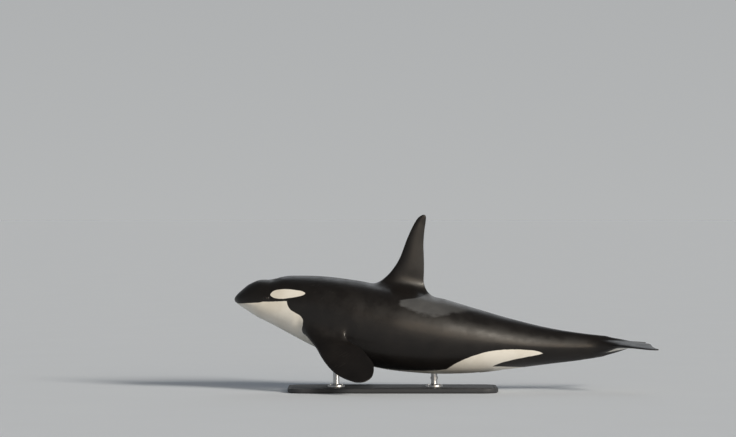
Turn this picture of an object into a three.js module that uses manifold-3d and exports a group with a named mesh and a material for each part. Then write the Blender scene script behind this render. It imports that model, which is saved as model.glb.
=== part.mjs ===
// A life-size bull orca with its head raised as it breaks the surface, held by a plain display stand.
// Millimetres, +Z up, snout towards -X, left side towards -Y, with the origin under the middle of the stand.
import * as THREE from "three";
import { mergeVertices } from "three/addons/utils/BufferGeometryUtils.js";
import Module from "manifold-3d";

const wasm = await Module();
wasm.setup();

// Driving sizes of the animal. A station is a share of its length, from the snout tip, 0, to the fluke notch, 1.
const BODY_LENGTH = 6500;
const FIN_HEIGHT = 0.188 * BODY_LENGTH;
const FLIPPER_LENGTH = 0.2 * BODY_LENGTH;
const FLUKE_HALF_SPAN = 0.148 * BODY_LENGTH;
const SNOUT_HEIGHT = 1455;
const GAP = 0.3;

// How far the nose of each stretch points above the horizon: [station, degrees].
const PITCH = [
  [0, 5],
  [0.1, 6.5],
  [0.22, 10.5],
  [0.35, 11.5],
  [0.5, 10],
  [0.65, 6.5],
  [0.8, 2],
  [0.92, -3],
  [1, -6],
];

// The body's outline off its axis, in shares of its length: [station, back, belly, half width].
const OUTLINE = [
  [0, 0, 0, 0],
  [0.003, 0.0085, -0.0062, 0.0118],
  [0.015, 0.0228, -0.0148, 0.0285],
  [0.032, 0.039, -0.0235, 0.0412],
  [0.062, 0.0536, -0.0385, 0.0535],
  [0.087, 0.0562, -0.0475, 0.0605],
  [0.103, 0.0636, -0.0535, 0.0646],
  [0.125, 0.0702, -0.0618, 0.0703],
  [0.15, 0.0742, -0.071, 0.0765],
  [0.22, 0.0832, -0.092, 0.0895],
  [0.3, 0.0875, -0.107, 0.0975],
  [0.38, 0.0885, -0.111, 0.0985],
  [0.48, 0.085, -0.1035, 0.09],
  [0.58, 0.0735, -0.087, 0.0735],
  [0.68, 0.058, -0.064, 0.052],
  [0.78, 0.0425, -0.0435, 0.033],
  [0.86, 0.032, -0.0315, 0.0215],
  [0.92, 0.0235, -0.0225, 0.0155],
  [0.96, 0.013, -0.012, 0.0105],
  [0.985, 0.0045, -0.004, 0.005],
];

// How high off the axis the body is widest, in shares of its length.
const WIDEST = [
  [0, 0],
  [0.06, 0.002],
  [0.15, 0.001],
  [0.38, -0.013],
  [0.68, -0.004],
  [0.985, 0],
];

// Squareness of the cross-sections: 2 is an ellipse, and less pinches the tail stock to keels.
const SQUARENESS = [
  [0, 2],
  [0.1, 2.15],
  [0.3, 2.2],
  [0.55, 2.05],
  [0.75, 1.75],
  [0.985, 1.7],
];

// Where the body parts: the head, chest, torso and tail stock run between these stations.
const HEAD_END = 0.175;
const CHEST_END = 0.315;
const TORSO_END = 0.58;
const BODY_END = 0.985;
const RINGS = 60;
const AROUND = 36;

// The mouth line off the body's axis, [station, height], up to its corner under the eye.
const MOUTH = [
  [0.0066, -0.0088],
  [0.0125, -0.0084],
  [0.037, -0.0049],
  [0.06, -0.0012],
  [0.0715, 0.0024],
];
const MOUTH_GROOVE_RADIUS = 9;
const JAW_THROAT_STATION = 0.088;
const JAW_THROAT_HEIGHT = -0.03;
const JAW_REAR_STATION = 0.122;
const JAW_REAR_HEIGHT = -0.09;

const EYE_STATION = 0.0775;
const EYE_HEIGHT = 0.0125;
const EYE_RADIUS = 40;
const EYE_SUNK = 36;
const LID_HALF_LENGTH = 38;
const LID_HALF_HEIGHT = 21;
const LID_RADIUS = 15;
const LID_SUNK = 8;

const BLOWHOLE_STATION = 0.086;
const BLOWHOLE_RADIUS = 50;
const BLOWHOLE_SWEEP = 100;
const BLOWHOLE_GROOVE_RADIUS = 9;

const VENT_FROM = 0.615;
const VENT_TO = 0.665;
const VENT_GROOVE_RADIUS = 11;

// The dorsal fin: [height, leading edge, trailing edge], in shares of its height and, for the edges, the body.
const FIN_STATION = 0.335;
const FIN_PITCH_STATION = 0.39;
const FIN_OUTLINE = [
  [-0.14, -0.014, 0.152],
  [0, -0.004, 0.134],
  [0.04, 0.0045, 0.12],
  [0.12, 0.0168, 0.11],
  [0.25, 0.0305, 0.105],
  [0.4, 0.0405, 0.0998],
  [0.6, 0.0465, 0.0908],
  [0.8, 0.0545, 0.0856],
  [0.92, 0.062, 0.0845],
  [0.975, 0.0686, 0.0825],
  [1, 0.0755, 0.08],
];
const FIN_THICKNESS = [
  [-0.14, 330],
  [0, 250],
  [0.05, 172],
  [0.12, 140],
  [0.4, 104],
  [0.8, 58],
  [1, 26],
];

// A flipper: [span, leading edge, trailing edge], all in shares of its length, and how it is carried.
const FLIPPER_STATION = 0.222;
const FLIPPER_HEIGHT = -0.052;
const FLIPPER_SWEEP = 38;
const FLIPPER_DROOP = 40;
const FLIPPER_TWIST = 12;
const FLIPPER_BEND = 0.06;
const FLIPPER_OUTLINE = [
  [-0.3, -0.17, 0.27],
  [0, -0.165, 0.19],
  [0.15, -0.165, 0.185],
  [0.35, -0.19, 0.23],
  [0.55, -0.2, 0.28],
  [0.75, -0.165, 0.275],
  [0.9, -0.09, 0.21],
  [0.97, -0.02, 0.135],
  [1, 0.04, 0.075],
];
const FLIPPER_THICKNESS = [
  [-0.3, 160],
  [0, 138],
  [0.12, 118],
  [0.5, 80],
  [0.85, 42],
  [1, 18],
];

// A fluke: [span, leading edge, trailing edge], in shares of its half span and, for the edges, the body.
const FLUKE_STATION = 0.915;
const FLUKE_PITCH_STATION = 0.95;
const FLUKE_TIP_DROOP = 75;
const FLUKE_OUTLINE = [
  [0, -0.024, 0.074],
  [0.06, -0.015, 0.0815],
  [0.12, -0.004, 0.0885],
  [0.2, 0.0085, 0.0955],
  [0.35, 0.0245, 0.101],
  [0.5, 0.0385, 0.1015],
  [0.65, 0.0535, 0.1012],
  [0.8, 0.0705, 0.1035],
  [0.92, 0.088, 0.1085],
  [1, 0.105, 0.1125],
];
const FLUKE_THICKNESS = [
  [0, 190],
  [0.1, 142],
  [0.25, 98],
  [0.6, 48],
  [0.9, 22],
  [1, 12],
];

const EDGE_THICKNESS = 8;
const BLADE_ROWS = 18;
const BLADE_STEPS = 8;

// The stand, under the animal's centre of mass. Its base lies on the floor, SNOUT_HEIGHT below the snout tip.
const BASE_LENGTH = 3300;
const BASE_WIDTH = 1400;
const BASE_THICKNESS = 70;
const BASE_CORNER = 260;
const BASE_CHAMFER = 12;
const ROD_RADIUS = 50;
const ROD_FLANGE_RADIUS = 135;
const ROD_FLANGE_THICKNESS = 28;
const ROD_SUNK = 160;
const ROD_STATIONS = { front: 0.27, rear: 0.51 };
const CENTRE_STATION = 0.39;

const MATERIALS = {
  skin: new THREE.MeshStandardMaterial({ color: 0x0b0b0d, roughness: 0.32, metalness: 0 }),
  jaw: new THREE.MeshStandardMaterial({ color: 0xdcdad2, roughness: 0.36, metalness: 0 }),
  eye: new THREE.MeshStandardMaterial({ color: 0x1b0f09, roughness: 0.08, metalness: 0 }),
  base: new THREE.MeshStandardMaterial({ color: 0x3a3c40, roughness: 0.55, metalness: 0 }),
  rod: new THREE.MeshStandardMaterial({ color: 0xa9adb2, roughness: 0.35, metalness: 1 }),
};

// A smooth curve through rows of [x, y0, y1, ...] that never overshoots them; column picks the y.
function curveThrough(rows, column = 1, warp = (x) => x) {
  const xs = rows.map((row) => warp(row[0]));
  const ys = rows.map((row) => row[column]);
  const last = rows.length - 1;
  const rise = ys.slice(1).map((y, i) => (y - ys[i]) / (xs[i + 1] - xs[i]));
  const slopes = ys.map((y, i) => {
    if (i === 0) return rise[0];
    if (i === last) return rise[last - 1];
    const product = rise[i - 1] * rise[i];
    return product <= 0 ? 0 : (2 * product) / (rise[i - 1] + rise[i]);
  });
  return (value) => {
    const x = THREE.MathUtils.clamp(warp(value), xs[0], xs[last]);
    let i = 0;
    while (i < last - 1 && x > xs[i + 1]) i++;
    const width = xs[i + 1] - xs[i];
    const t = (x - xs[i]) / width;
    const start = (2 * t ** 3 - 3 * t ** 2 + 1) * ys[i] + (t ** 3 - 2 * t ** 2 + t) * width * slopes[i];
    const end = (3 * t ** 2 - 2 * t ** 3) * ys[i + 1] + (t ** 3 - t ** 2) * width * slopes[i + 1];
    return start + end;
  };
}

// The square root warp makes the outline round at the snout, where each radius starts from nothing.
const pitchAt = curveThrough(PITCH);
const backAt = curveThrough(OUTLINE, 1, Math.sqrt);
const bellyAt = curveThrough(OUTLINE, 2, Math.sqrt);
const halfWidthAt = curveThrough(OUTLINE, 3, Math.sqrt);
const widestAt = curveThrough(WIDEST);
const squarenessAt = curveThrough(SQUARENESS);
const mouthHeightAt = curveThrough(MOUTH);

// The body's axis, walked from the snout tip in short straight steps.
const AXIS_STEPS = 1000;
const axis = [new THREE.Vector2(0, 0)];
for (let i = 0; i < AXIS_STEPS; i++) {
  const angle = THREE.MathUtils.degToRad(pitchAt((i + 0.5) / AXIS_STEPS));
  const step = new THREE.Vector2(Math.cos(angle), -Math.sin(angle));
  axis.push(axis[i].clone().addScaledVector(step, BODY_LENGTH / AXIS_STEPS));
}

function axisPoint(station) {
  const along = THREE.MathUtils.clamp(station, 0, 1) * AXIS_STEPS;
  const i = Math.min(Math.floor(along), AXIS_STEPS - 1);
  const point = axis[i].clone().lerp(axis[i + 1], along - i);
  return new THREE.Vector3(point.x, 0, point.y);
}

function backDirection(station) {
  const angle = THREE.MathUtils.degToRad(pitchAt(station));
  return new THREE.Vector3(Math.cos(angle), 0, -Math.sin(angle));
}

function upDirection(station) {
  const angle = THREE.MathUtils.degToRad(pitchAt(station));
  return new THREE.Vector3(Math.sin(angle), 0, Math.cos(angle));
}

// A point at a station, so far above the axis and out to the right, in millimetres.
function bodyPoint(station, height, out) {
  const up = upDirection(station).multiplyScalar(height);
  return axisPoint(station).add(up).add(new THREE.Vector3(0, out, 0));
}

function sectionAt(station) {
  const widest = widestAt(station);
  return {
    middle: widest * BODY_LENGTH,
    rise: (backAt(station) - widest) * BODY_LENGTH,
    drop: (widest - bellyAt(station)) * BODY_LENGTH,
    halfWidth: halfWidthAt(station) * BODY_LENGTH,
    squareness: squarenessAt(station),
  };
}

// The skin at a station: angle 0 is the left side, 90 degrees the back; grow pushes it outwards.
function ringPoint(station, angle, grow) {
  const { middle, rise, drop, halfWidth, squareness } = sectionAt(station);
  const bulge = (value) => Math.sign(value) * Math.abs(value) ** (2 / squareness);
  const reach = (Math.sin(angle) > 0 ? rise : drop) + grow;
  const height = middle + reach * bulge(Math.sin(angle));
  return bodyPoint(station, height, -(halfWidth + grow) * bulge(Math.cos(angle)));
}

// The skin's point at a station and height on one side: -1 is left and 1 is right.
function sidePoint(station, height, side) {
  const { middle, rise, drop, halfWidth, squareness } = sectionAt(station);
  const share = Math.min(Math.abs(height - middle) / (height > middle ? rise : drop), 1);
  return bodyPoint(station, height, side * halfWidth * (1 - share ** squareness) ** (1 / squareness));
}

// The skin's point on the back, 1, or the belly, -1, so far out from the middle.
function ridgePoint(station, out, face) {
  const { middle, rise, drop, halfWidth, squareness } = sectionAt(station);
  const share = (1 - Math.min(Math.abs(out / halfWidth), 1) ** squareness) ** (1 / squareness);
  return bodyPoint(station, middle + (face > 0 ? rise : -drop) * share, out);
}

function geometryFrom(points, triangles) {
  const geometry = new THREE.BufferGeometry();
  geometry.setAttribute("position", new THREE.Float32BufferAttribute(points.flatMap((p) => p.toArray()), 3));
  geometry.setIndex(triangles);
  return geometry;
}

// Rings of the skin between two stations, closed at both ends; rings lie closer together towards the snout.
function skinStations(from, to) {
  const inner = [];
  for (let i = 1; i < RINGS; i++) {
    const station = BODY_END * (i / RINGS) ** 2;
    const margin = (0.6 * BODY_END * i) / RINGS ** 2;
    if (station > from + margin && station < to - margin) inner.push(station);
  }
  return [from, ...inner, to];
}

function skinBetween(from, to, grow = 0) {
  const startsAtSnout = from === 0;
  const stations = skinStations(from, to).slice(startsAtSnout ? 1 : 0);
  const points = [];
  const triangles = [];
  for (const station of stations) {
    for (let j = 0; j < AROUND; j++) points.push(ringPoint(station, (j / AROUND) * 2 * Math.PI, grow));
  }
  for (let i = 0; i + 1 < stations.length; i++) {
    for (let j = 0; j < AROUND; j++) {
      const next = (j + 1) % AROUND;
      const [a, b] = [i * AROUND + j, i * AROUND + next];
      triangles.push(a, a + AROUND, b + AROUND, a, b + AROUND, b);
    }
  }
  const front = points.length;
  const rear = front + 1;
  const lastRing = (stations.length - 1) * AROUND;
  const frontMiddle = bodyPoint(from, sectionAt(from).middle, 0);
  points.push(frontMiddle.addScaledVector(backDirection(from), startsAtSnout ? -grow : 0));
  points.push(bodyPoint(to, sectionAt(to).middle, 0));
  for (let j = 0; j < AROUND; j++) {
    const next = (j + 1) % AROUND;
    triangles.push(front, j, next, rear, lastRing + next, lastRing + j);
  }
  return geometryFrom(points, triangles);
}

// The thickness of a blade along its chord: round at the leading edge, 0, and thin at the trailing edge, 1.
function bladeHalfThickness(chord, thickness) {
  const root = 0.2969 * Math.sqrt(chord) - 0.126 * chord;
  const wedge = -0.3516 * chord ** 2 + 0.2843 * chord ** 3 - 0.1036 * chord ** 4;
  return 5 * thickness * (root + wedge) + (EDGE_THICKNESS / 2) * chord;
}

// A fin from its root to its tip, thick along one direction. edgesAt gives a row's edges and its thickness.
function blade(from, thickAlong, edgesAt) {
  const points = [];
  const triangles = [];
  const perRow = 2 * BLADE_STEPS + 1;
  const upper = (row, step) => row * perRow + step;
  const lower = (row, step) => (step === 0 ? upper(row, 0) : row * perRow + BLADE_STEPS + step);
  const rows = [];
  for (let row = 0; row <= BLADE_ROWS; row++) {
    const share = row / BLADE_ROWS;
    rows.push(edgesAt(from + (1 - from) * (1 - (1 - share) ** 1.35)));
  }
  const chordwise = rows[0].trailing.clone().sub(rows[0].leading);
  const spanwise = rows[BLADE_ROWS - 1].leading.clone().sub(rows[0].leading);
  const normal = thickAlong.clone().multiplyScalar(Math.sign(chordwise.cross(spanwise).dot(thickAlong)));
  for (const { leading, trailing, thickness } of rows) {
    const skin = (step, face) => {
      const chord = (1 - Math.cos((Math.PI * step) / BLADE_STEPS)) / 2;
      const half = bladeHalfThickness(chord, thickness);
      return leading.clone().lerp(trailing, chord).addScaledVector(normal, face * half);
    };
    for (let step = 0; step <= BLADE_STEPS; step++) points.push(skin(step, 1));
    for (let step = 1; step <= BLADE_STEPS; step++) points.push(skin(step, -1));
  }
  for (let row = 0; row < BLADE_ROWS; row++) {
    for (let step = 0; step < BLADE_STEPS; step++) {
      const [a, b] = [upper(row, step), upper(row, step + 1)];
      const [c, d] = [upper(row + 1, step + 1), upper(row + 1, step)];
      triangles.push(a, b, c, a, c, d);
      const [e, f] = [lower(row, step), lower(row, step + 1)];
      const [g, h] = [lower(row + 1, step + 1), lower(row + 1, step)];
      triangles.push(e, g, f, e, h, g);
    }
    const [a, b] = [upper(row, BLADE_STEPS), lower(row, BLADE_STEPS)];
    const [c, d] = [lower(row + 1, BLADE_STEPS), upper(row + 1, BLADE_STEPS)];
    triangles.push(a, b, c, a, c, d);
  }
  for (let step = 0; step < BLADE_STEPS; step++) {
    const around = (row) => [upper(row, step), upper(row, step + 1), lower(row, step + 1), lower(row, step)];
    for (const [a, b, c, d] of [around(0).reverse(), around(BLADE_ROWS)]) {
      if (a !== b) triangles.push(a, b, c);
      if (c !== d && a !== d) triangles.push(a, c, d);
    }
  }
  return geometryFrom(points, triangles);
}

function mirrored(geometry) {
  const copy = geometry.clone().scale(1, -1, 1);
  const index = copy.index.array;
  for (let i = 0; i < index.length; i += 3) [index[i + 1], index[i + 2]] = [index[i + 2], index[i + 1]];
  return copy;
}

function solidOf(geometry) {
  const bare = geometry.clone();
  bare.deleteAttribute("normal");
  bare.deleteAttribute("uv");
  const merged = mergeVertices(bare, 1e-3);
  const vertProperties = new Float32Array(merged.attributes.position.array);
  const triVerts = new Uint32Array(merged.index.array);
  return new wasm.Manifold(new wasm.Mesh({ numProp: 3, vertProperties, triVerts }));
}

// The largest closed surface of a solid, as a named mesh.
function meshOf(name, solid, material) {
  const [largest] = solid.decompose().sort((a, b) => b.volume() - a.volume());
  const { vertProperties, triVerts } = largest.getMesh();
  const geometry = new THREE.BufferGeometry();
  geometry.setAttribute("position", new THREE.Float32BufferAttribute(vertProperties, 3));
  geometry.setIndex(Array.from(triVerts));
  geometry.computeVertexNormals();
  const mesh = new THREE.Mesh(geometry, material);
  mesh.name = name;
  return mesh;
}

// A round cutter that follows points laid on the skin.
function tubeAlong(points, radius, steps, closed = false) {
  const ring = new THREE.Shape();
  ring.absarc(0, 0, radius, 0, 2 * Math.PI);
  const extrudePath = new THREE.CatmullRomCurve3(points, closed);
  const options = { extrudePath, steps, curveSegments: 4, bevelEnabled: false };
  return solidOf(new THREE.ExtrudeGeometry(ring, options));
}

// Everything forward of the throat and below the mouth line, as one block across the head.
function jawBlock(shift) {
  const lips = MOUTH.map(([station, height]) => bodyPoint(station, height * BODY_LENGTH, 0));
  const throat = bodyPoint(JAW_THROAT_STATION, JAW_THROAT_HEIGHT * BODY_LENGTH, 0);
  const rear = bodyPoint(JAW_REAR_STATION, JAW_REAR_HEIGHT * BODY_LENGTH, 0);
  const ahead = lips[0].clone().add(new THREE.Vector3(-200, 0, 0));
  const under = ahead.clone().setZ(rear.z);
  const corners = [ahead, ...lips, throat, rear, under];
  const outline = corners.map((p) => new THREE.Vector2(p.x - shift, p.z - shift));
  const depth = 1200;
  const block = new THREE.ExtrudeGeometry(new THREE.Shape(outline), { depth, bevelEnabled: false });
  block.rotateX(Math.PI / 2).translate(0, depth / 2, 0);
  return solidOf(block);
}

function mouthGroove() {
  const left = [];
  const [first, last] = [MOUTH[0][0], MOUTH[MOUTH.length - 1][0]];
  const points = 12;
  for (let i = 0; i <= points; i++) {
    const station = first + (last - first) * (1 - i / points) ** 2;
    left.push(sidePoint(station, mouthHeightAt(station) * BODY_LENGTH, -1));
  }
  const right = left.slice(0, -1).reverse().map((p) => p.clone().setY(-p.y));
  return tubeAlong([...left, ...right], MOUTH_GROOVE_RADIUS, 56);
}

function eyeFrame(side) {
  const height = EYE_HEIGHT * BODY_LENGTH;
  const step = 0.002;
  const surface = sidePoint(EYE_STATION, height, side);
  const behind = sidePoint(EYE_STATION + step, height, side).sub(surface).normalize();
  const above = sidePoint(EYE_STATION, height + step * BODY_LENGTH, side).sub(surface).normalize();
  const outward = behind.clone().cross(above).multiplyScalar(-side).normalize();
  return { surface, behind, above, outward };
}

function eyeball(side, grow) {
  const { surface, outward } = eyeFrame(side);
  const centre = surface.addScaledVector(outward, -EYE_SUNK);
  return solidOf(new THREE.SphereGeometry(EYE_RADIUS + grow, 20, 14).translate(centre.x, centre.y, centre.z));
}

function lids(side) {
  const { surface, behind, above, outward } = eyeFrame(side);
  const points = [];
  const count = 12;
  for (let i = 0; i < count; i++) {
    const angle = (i / count) * 2 * Math.PI;
    const arch = Math.sign(Math.sin(angle)) * Math.abs(Math.sin(angle)) ** 1.4;
    const point = surface.clone().addScaledVector(outward, -LID_SUNK);
    point.addScaledVector(behind, LID_HALF_LENGTH * Math.cos(angle));
    points.push(point.addScaledVector(above, LID_HALF_HEIGHT * arch));
  }
  return tubeAlong(points, LID_RADIUS, 24, true);
}

function blowholeGroove() {
  const points = [];
  const count = 10;
  for (let i = 0; i <= count; i++) {
    const angle = THREE.MathUtils.degToRad(BLOWHOLE_SWEEP * ((2 * i) / count - 1));
    const station = BLOWHOLE_STATION + (BLOWHOLE_RADIUS * 0.8 * Math.cos(angle)) / BODY_LENGTH;
    points.push(ridgePoint(station, BLOWHOLE_RADIUS * 1.15 * Math.sin(angle), 1));
  }
  return tubeAlong(points, BLOWHOLE_GROOVE_RADIUS, 24);
}

function ventGroove() {
  const count = 6;
  const stations = Array.from({ length: count + 1 }, (_, i) => VENT_FROM + ((VENT_TO - VENT_FROM) * i) / count);
  return tubeAlong(stations.map((station) => ridgePoint(station, 0, -1)), VENT_GROOVE_RADIUS, 10);
}

// The dorsal fin stands in the frame of the back under its middle.
function dorsalFin() {
  const back = backDirection(FIN_PITCH_STATION);
  const up = upDirection(FIN_PITCH_STATION);
  const foot = bodyPoint(FIN_STATION, backAt(FIN_STATION) * BODY_LENGTH, 0);
  const leadingAt = curveThrough(FIN_OUTLINE, 1);
  const trailingAt = curveThrough(FIN_OUTLINE, 2);
  const thicknessAt = curveThrough(FIN_THICKNESS);
  const point = (height, along) =>
    foot.clone().addScaledVector(up, height * FIN_HEIGHT).addScaledVector(back, along * BODY_LENGTH);
  return blade(FIN_OUTLINE[0][0], new THREE.Vector3(0, 1, 0), (height) => ({
    leading: point(height, leadingAt(height)),
    trailing: point(height, trailingAt(height)),
    thickness: thicknessAt(height),
  }));
}

// The left flipper, swept back and carried low, its tip bent in a little.
function leftFlipper() {
  const sweep = THREE.MathUtils.degToRad(FLIPPER_SWEEP);
  const droop = THREE.MathUtils.degToRad(FLIPPER_DROOP);
  const back = backDirection(FLIPPER_STATION);
  const up = upDirection(FLIPPER_STATION);
  const left = new THREE.Vector3(0, -1, 0);
  const outDown = left.clone().multiplyScalar(Math.cos(droop)).addScaledVector(up, -Math.sin(droop));
  const span = outDown.clone().multiplyScalar(Math.cos(sweep)).addScaledVector(back, Math.sin(sweep));
  const chord = back.clone().multiplyScalar(Math.cos(sweep)).addScaledVector(outDown, -Math.sin(sweep));
  chord.applyAxisAngle(span, THREE.MathUtils.degToRad(FLIPPER_TWIST));
  const inward = span.clone().cross(chord).normalize();
  const root = sidePoint(FLIPPER_STATION, FLIPPER_HEIGHT * BODY_LENGTH, -1);
  const leadingAt = curveThrough(FLIPPER_OUTLINE, 1);
  const trailingAt = curveThrough(FLIPPER_OUTLINE, 2);
  const thicknessAt = curveThrough(FLIPPER_THICKNESS);
  const point = (share, along) => {
    const offset = chord.clone().multiplyScalar(along).addScaledVector(span, share);
    offset.addScaledVector(inward, FLIPPER_BEND * Math.max(share, 0) ** 2);
    return root.clone().addScaledVector(offset, FLIPPER_LENGTH);
  };
  return blade(FLIPPER_OUTLINE[0][0], inward, (share) => ({
    leading: point(share, leadingAt(share)),
    trailing: point(share, trailingAt(share)),
    thickness: thicknessAt(share),
  }));
}

// The left fluke, level at its root and curling down towards its tip.
function leftFluke() {
  const back = backDirection(FLUKE_PITCH_STATION);
  const up = upDirection(FLUKE_PITCH_STATION);
  const foot = bodyPoint(FLUKE_STATION, 0, 0);
  const leadingAt = curveThrough(FLUKE_OUTLINE, 1);
  const trailingAt = curveThrough(FLUKE_OUTLINE, 2);
  const thicknessAt = curveThrough(FLUKE_THICKNESS);
  const point = (share, along) => {
    const drop = FLUKE_TIP_DROOP * share ** 2.4;
    const place = foot.clone().addScaledVector(back, along * BODY_LENGTH).addScaledVector(up, -drop);
    return place.setY(-(share * FLUKE_HALF_SPAN + GAP / 2));
  };
  return blade(FLUKE_OUTLINE[0][0], up, (share) => ({
    leading: point(share, leadingAt(share)),
    trailing: point(share, trailingAt(share)),
    thickness: thicknessAt(share),
  }));
}

function standBase(underside) {
  const [x, y] = [BASE_LENGTH / 2 - BASE_CHAMFER, BASE_WIDTH / 2 - BASE_CHAMFER];
  const corner = BASE_CORNER - BASE_CHAMFER;
  const plate = new THREE.Shape();
  plate.absarc(x - corner, y - corner, corner, 0, Math.PI / 2);
  plate.absarc(corner - x, y - corner, corner, Math.PI / 2, Math.PI);
  plate.absarc(corner - x, corner - y, corner, Math.PI, 1.5 * Math.PI);
  plate.absarc(x - corner, corner - y, corner, 1.5 * Math.PI, 2 * Math.PI);
  const options = { depth: BASE_THICKNESS - 2 * BASE_CHAMFER, curveSegments: 10 };
  const bevel = { bevelThickness: BASE_CHAMFER, bevelSize: BASE_CHAMFER, bevelSegments: 1 };
  const geometry = new THREE.ExtrudeGeometry(plate, { ...options, ...bevel });
  return solidOf(geometry.translate(axisPoint(CENTRE_STATION).x, 0, underside + BASE_CHAMFER));
}

// A rod with a round flange, from the base up into the belly, where the skin then cuts it.
function standRod(station, baseTop) {
  const belly = bodyPoint(station, bellyAt(station) * BODY_LENGTH, 0);
  const height = belly.z + ROD_SUNK - baseTop;
  const profile = [
    [0, 0],
    [ROD_FLANGE_RADIUS, 0],
    [ROD_FLANGE_RADIUS, ROD_FLANGE_THICKNESS - 6],
    [ROD_FLANGE_RADIUS - 6, ROD_FLANGE_THICKNESS],
    [ROD_RADIUS + 16, ROD_FLANGE_THICKNESS],
    [ROD_RADIUS + 5, ROD_FLANGE_THICKNESS + 6],
    [ROD_RADIUS, ROD_FLANGE_THICKNESS + 18],
    [ROD_RADIUS, height],
    [0, height],
  ].map(([radius, z]) => new THREE.Vector2(radius, z));
  const rod = new THREE.LatheGeometry(profile, 32).rotateX(Math.PI / 2);
  return solidOf(rod.translate(belly.x, 0, baseTop + GAP));
}

function buildOrca() {
  const clear = GAP + 0.1;
  const trim = GAP / 2 / BODY_LENGTH;
  const stretches = [0, HEAD_END, CHEST_END, TORSO_END];
  const between = (i) => {
    const from = i === 0 ? 0 : stretches[i] + trim;
    const to = i === 3 ? BODY_END : stretches[i + 1] - trim;
    return solidOf(skinBetween(from, to));
  };
  const rearmost = BODY_END + clear / BODY_LENGTH;
  const grownStretch = (i) => solidOf(skinBetween(stretches[i], stretches[i + 1] ?? rearmost, clear));
  const grown = [0, 1, 2, 3].map(grownStretch).reduce((all, one) => all.add(one));

  const wholeHead = between(0).subtract(mouthGroove());
  const dressedHead = [-1, 1]
    .reduce((head, side) => head.add(lids(side)), wholeHead.subtract(jawBlock(0)))
    .subtract(blowholeGroove());
  const head = [-1, 1].reduce((solid, side) => solid.subtract(eyeball(side, GAP)), dressedHead);
  const jaw = wholeHead.intersect(jawBlock(GAP));

  const flipper = leftFlipper();
  const fluke = leftFluke();
  const baseTop = BASE_THICKNESS - SNOUT_HEIGHT;

  const group = new THREE.Group();
  group.add(
    meshOf("head", head, MATERIALS.skin),
    meshOf("lower_jaw", jaw, MATERIALS.jaw),
    meshOf("eye_left", eyeball(-1, 0), MATERIALS.eye),
    meshOf("eye_right", eyeball(1, 0), MATERIALS.eye),
    meshOf("chest", between(1), MATERIALS.skin),
    meshOf("torso", between(2), MATERIALS.skin),
    meshOf("tail_stock", between(3).subtract(ventGroove()), MATERIALS.skin),
    meshOf("dorsal_fin", solidOf(dorsalFin()).subtract(grown), MATERIALS.skin),
    meshOf("flipper_left", solidOf(flipper).subtract(grown), MATERIALS.skin),
    meshOf("flipper_right", solidOf(mirrored(flipper)).subtract(grown), MATERIALS.skin),
    meshOf("fluke_left", solidOf(fluke).subtract(grown), MATERIALS.skin),
    meshOf("fluke_right", solidOf(mirrored(fluke)).subtract(grown), MATERIALS.skin),
    meshOf("stand_base", standBase(-SNOUT_HEIGHT), MATERIALS.base),
  );
  for (const [end, station] of Object.entries(ROD_STATIONS)) {
    group.add(meshOf(`stand_rod_${end}`, standRod(station, baseTop).subtract(grown), MATERIALS.rod));
  }
  group.position.set(-axisPoint(CENTRE_STATION).x, 0, SNOUT_HEIGHT);
  return group;
}

export default buildOrca();
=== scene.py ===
# A life-size bull orca with its head raised, in wet black, white and grey skin, on a plain display stand.
# Metres, +Z up, snout towards -X, left side towards -Y.
import math
from functools import reduce

import bmesh
import bpy
from mathutils import Matrix, Quaternion, Vector


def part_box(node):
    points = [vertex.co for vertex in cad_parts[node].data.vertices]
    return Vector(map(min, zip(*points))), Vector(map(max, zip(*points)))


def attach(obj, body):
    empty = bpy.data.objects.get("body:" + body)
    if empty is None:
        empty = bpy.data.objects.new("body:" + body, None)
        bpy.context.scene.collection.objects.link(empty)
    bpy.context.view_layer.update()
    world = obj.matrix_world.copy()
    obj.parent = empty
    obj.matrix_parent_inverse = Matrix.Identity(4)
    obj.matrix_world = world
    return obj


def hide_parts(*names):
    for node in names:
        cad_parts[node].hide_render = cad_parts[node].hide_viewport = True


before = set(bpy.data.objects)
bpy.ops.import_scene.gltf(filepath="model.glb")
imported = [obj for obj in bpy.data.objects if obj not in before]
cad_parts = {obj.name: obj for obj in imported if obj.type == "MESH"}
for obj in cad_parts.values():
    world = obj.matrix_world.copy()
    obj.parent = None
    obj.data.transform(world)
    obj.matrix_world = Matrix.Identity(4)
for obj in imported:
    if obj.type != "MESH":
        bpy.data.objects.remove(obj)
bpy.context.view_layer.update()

# Driving sizes. A station is a share of the body's length, from the snout tip, 0, to the fluke notch, 1.
BODY_LENGTH = 6.5
FIN_HEIGHT = 0.188 * BODY_LENGTH
FLIPPER_LENGTH = 0.2 * BODY_LENGTH
FLUKE_HALF_SPAN = 0.148 * BODY_LENGTH
SNOUT = Vector((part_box("head")[0].x, 0, 1.455))

# How far the nose of each stretch points above the horizon: [station, degrees].
PITCH = [
    [0, 5], [0.1, 6.5], [0.22, 10.5], [0.35, 11.5], [0.5, 10], [0.65, 6.5], [0.8, 2], [0.92, -3], [1, -6]
]

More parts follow.
